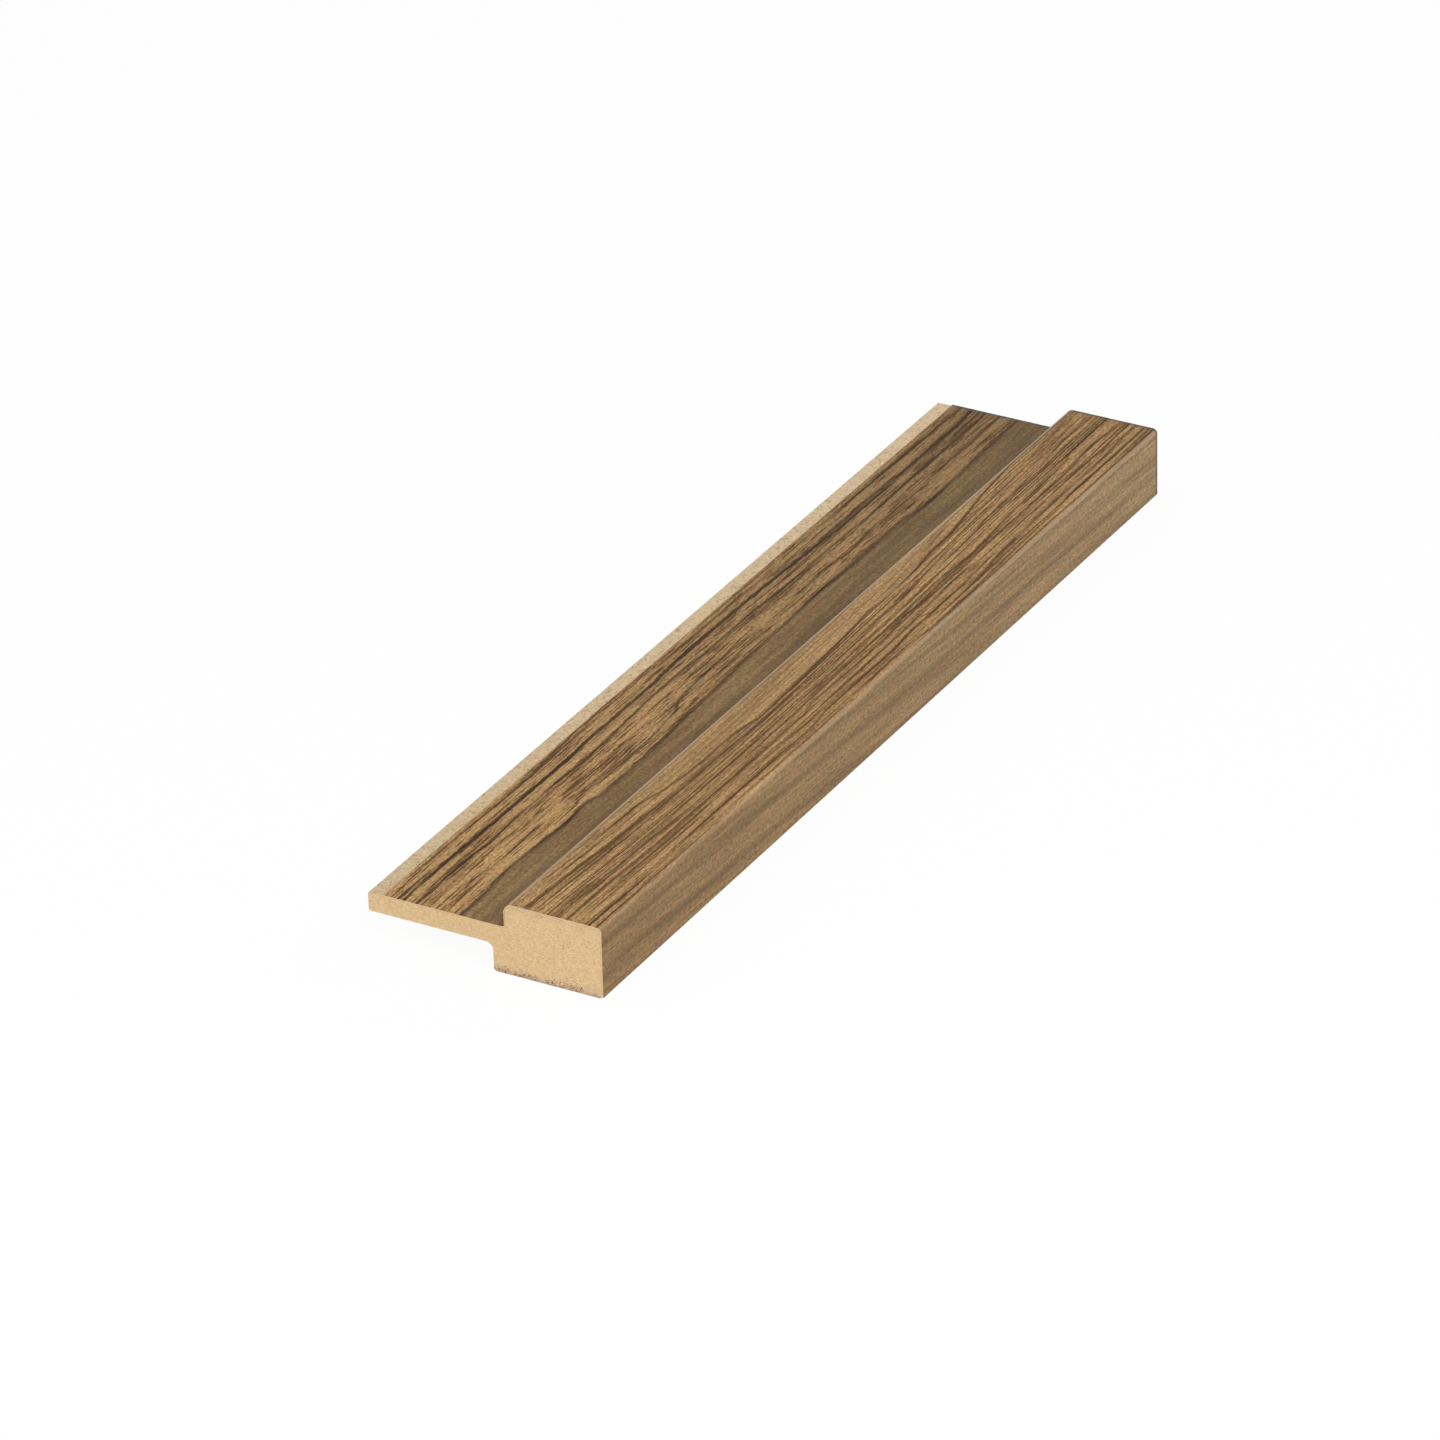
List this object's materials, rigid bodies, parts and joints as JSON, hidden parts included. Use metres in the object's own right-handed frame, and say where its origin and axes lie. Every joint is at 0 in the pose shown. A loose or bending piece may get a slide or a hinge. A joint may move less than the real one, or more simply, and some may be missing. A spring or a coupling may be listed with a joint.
{
  "type": "wall panel end trim",
  "caption": "Stepped end trim for slatted wall panels: an MDF bar with rounded front edges and a thin lap flange, wrapped in wood-look decor foil.",
  "frame": {"origin": "on the wall face, halfway along the trim and halfway across its overall width", "axes": "+X across the trim, from the flange towards the bar; +Y along the trim; +Z out from the wall, towards the bar's front"},
  "size_m": [0.06, 0.27, 0.018],
  "materials": {
    "mdf": "bare milled and sawn MDF, matt",
    "decor_foil": "printed brown wood-grain decor foil, satin"
  },
  "bodies": {
    "root": {"mdf_core": "mdf", "decor_foil": "decor_foil"}
  },
  "joints": []
}
